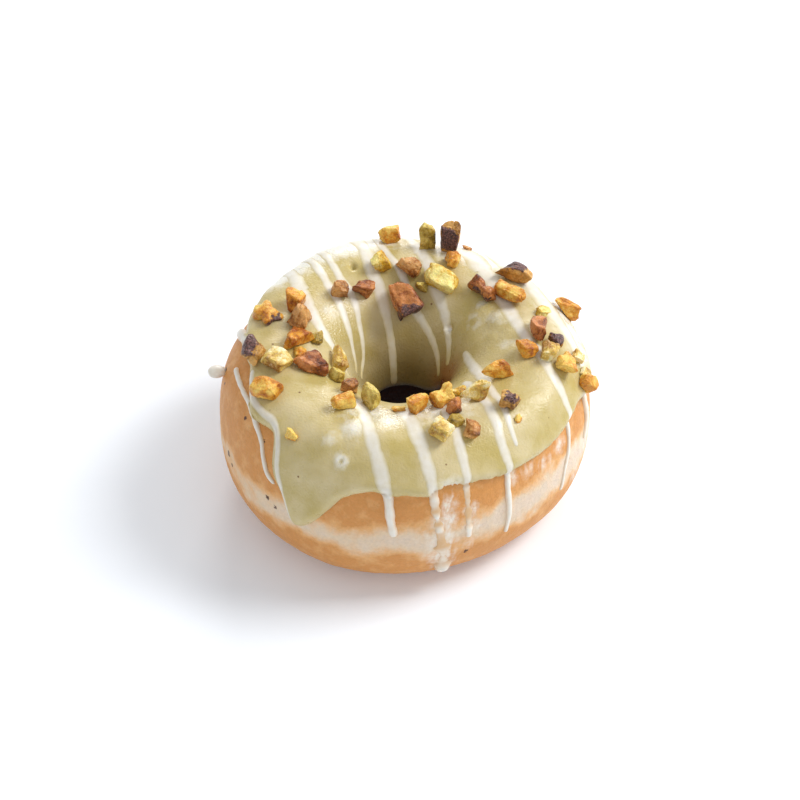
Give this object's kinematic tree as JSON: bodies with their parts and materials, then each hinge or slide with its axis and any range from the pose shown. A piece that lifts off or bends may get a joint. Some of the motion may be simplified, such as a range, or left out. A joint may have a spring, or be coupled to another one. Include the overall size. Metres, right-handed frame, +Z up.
{
  "type": "ring doughnut",
  "caption": "Ring doughnut of fried yeast dough with pistachio glaze, white icing lines and chopped pistachio pieces; open hole through the middle.",
  "frame": {"origin": "under the middle of the ring, on the surface that the doughnut rests on", "axes": "+Z up through the hole, -Y towards the side with the long drip of glaze at its left, +X to the right"},
  "size_m": [0.0921, 0.0882, 0.0534],
  "materials": {
    "dough": "fried bread crust, golden brown with a pale band, satin",
    "glaze": "pistachio glaze, smooth and softly glossy",
    "icing": "white icing, satin",
    "nut_golden": "roasted pistachio, golden",
    "nut_yellow": "roasted pistachio, yellow",
    "nut_pale": "roasted pistachio, pale yellow-green",
    "nut_olive": "roasted pistachio, olive",
    "nut_brown": "roasted pistachio, brown",
    "nut_russet": "roasted pistachio, red-brown",
    "nut_purple": "roasted pistachio with its purple skin"
  },
  "bodies": {
    "root": {"dough_ring": "dough", "pistachio_glaze": "glaze", "icing_line_far_left": "icing", "icing_line_left": "icing", "icing_line_front_left": "icing", "icing_line_front": "icing", "icing_line_front_right": "icing", "icing_line_right": "icing", "icing_line_right_short": "icing", "icing_line_right_inner": "icing", "icing_line_right_outer": "icing", "icing_line_back_1": "icing", "icing_line_back_2": "icing", "icing_line_back_3": "icing", "icing_line_back_4": "icing", "icing_line_back_5": "icing", "icing_line_back_6": "icing", "icing_drop_left": "icing", "pistachio_piece_01": "nut_golden", "pistachio_piece_02": "nut_olive", "pistachio_piece_03": "nut_purple", "pistachio_piece_04": "nut_golden", "pistachio_piece_05": "nut_yellow", "pistachio_piece_06": "nut_brown", "pistachio_piece_07": "nut_yellow", "pistachio_piece_08": "nut_olive", "pistachio_piece_09": "nut_russet", "pistachio_piece_10": "nut_brown", "pistachio_piece_11": "nut_russet", "pistachio_piece_12": "nut_purple", "pistachio_piece_13": "nut_russet", "pistachio_piece_14": "nut_golden", "pistachio_piece_15": "nut_golden", "pistachio_piece_16": "nut_russet", "pistachio_piece_17": "nut_purple", "pistachio_piece_18": "nut_pale", "pistachio_piece_19": "nut_golden", "pistachio_piece_20": "nut_golden", "pistachio_piece_21": "nut_golden", "pistachio_piece_22": "nut_golden", "pistachio_piece_23": "nut_golden", "pistachio_piece_24": "nut_golden", "pistachio_piece_25": "nut_brown", "pistachio_piece_26": "nut_golden", "pistachio_piece_27": "nut_purple", "pistachio_piece_28": "nut_pale", "pistachio_piece_29": "nut_russet", "pistachio_piece_30": "nut_olive", "pistachio_piece_31": "nut_pale", "pistachio_piece_32": "nut_golden", "pistachio_piece_33": "nut_golden", "pistachio_piece_34": "nut_brown", "pistachio_piece_35": "nut_olive", "pistachio_piece_36": "nut_golden", "pistachio_piece_37": "nut_golden", "pistachio_piece_38": "nut_pale", "pistachio_piece_39": "nut_russet", "pistachio_piece_40": "nut_pale", "pistachio_piece_41": "nut_brown", "pistachio_piece_42": "nut_purple"}
  },
  "joints": []
}
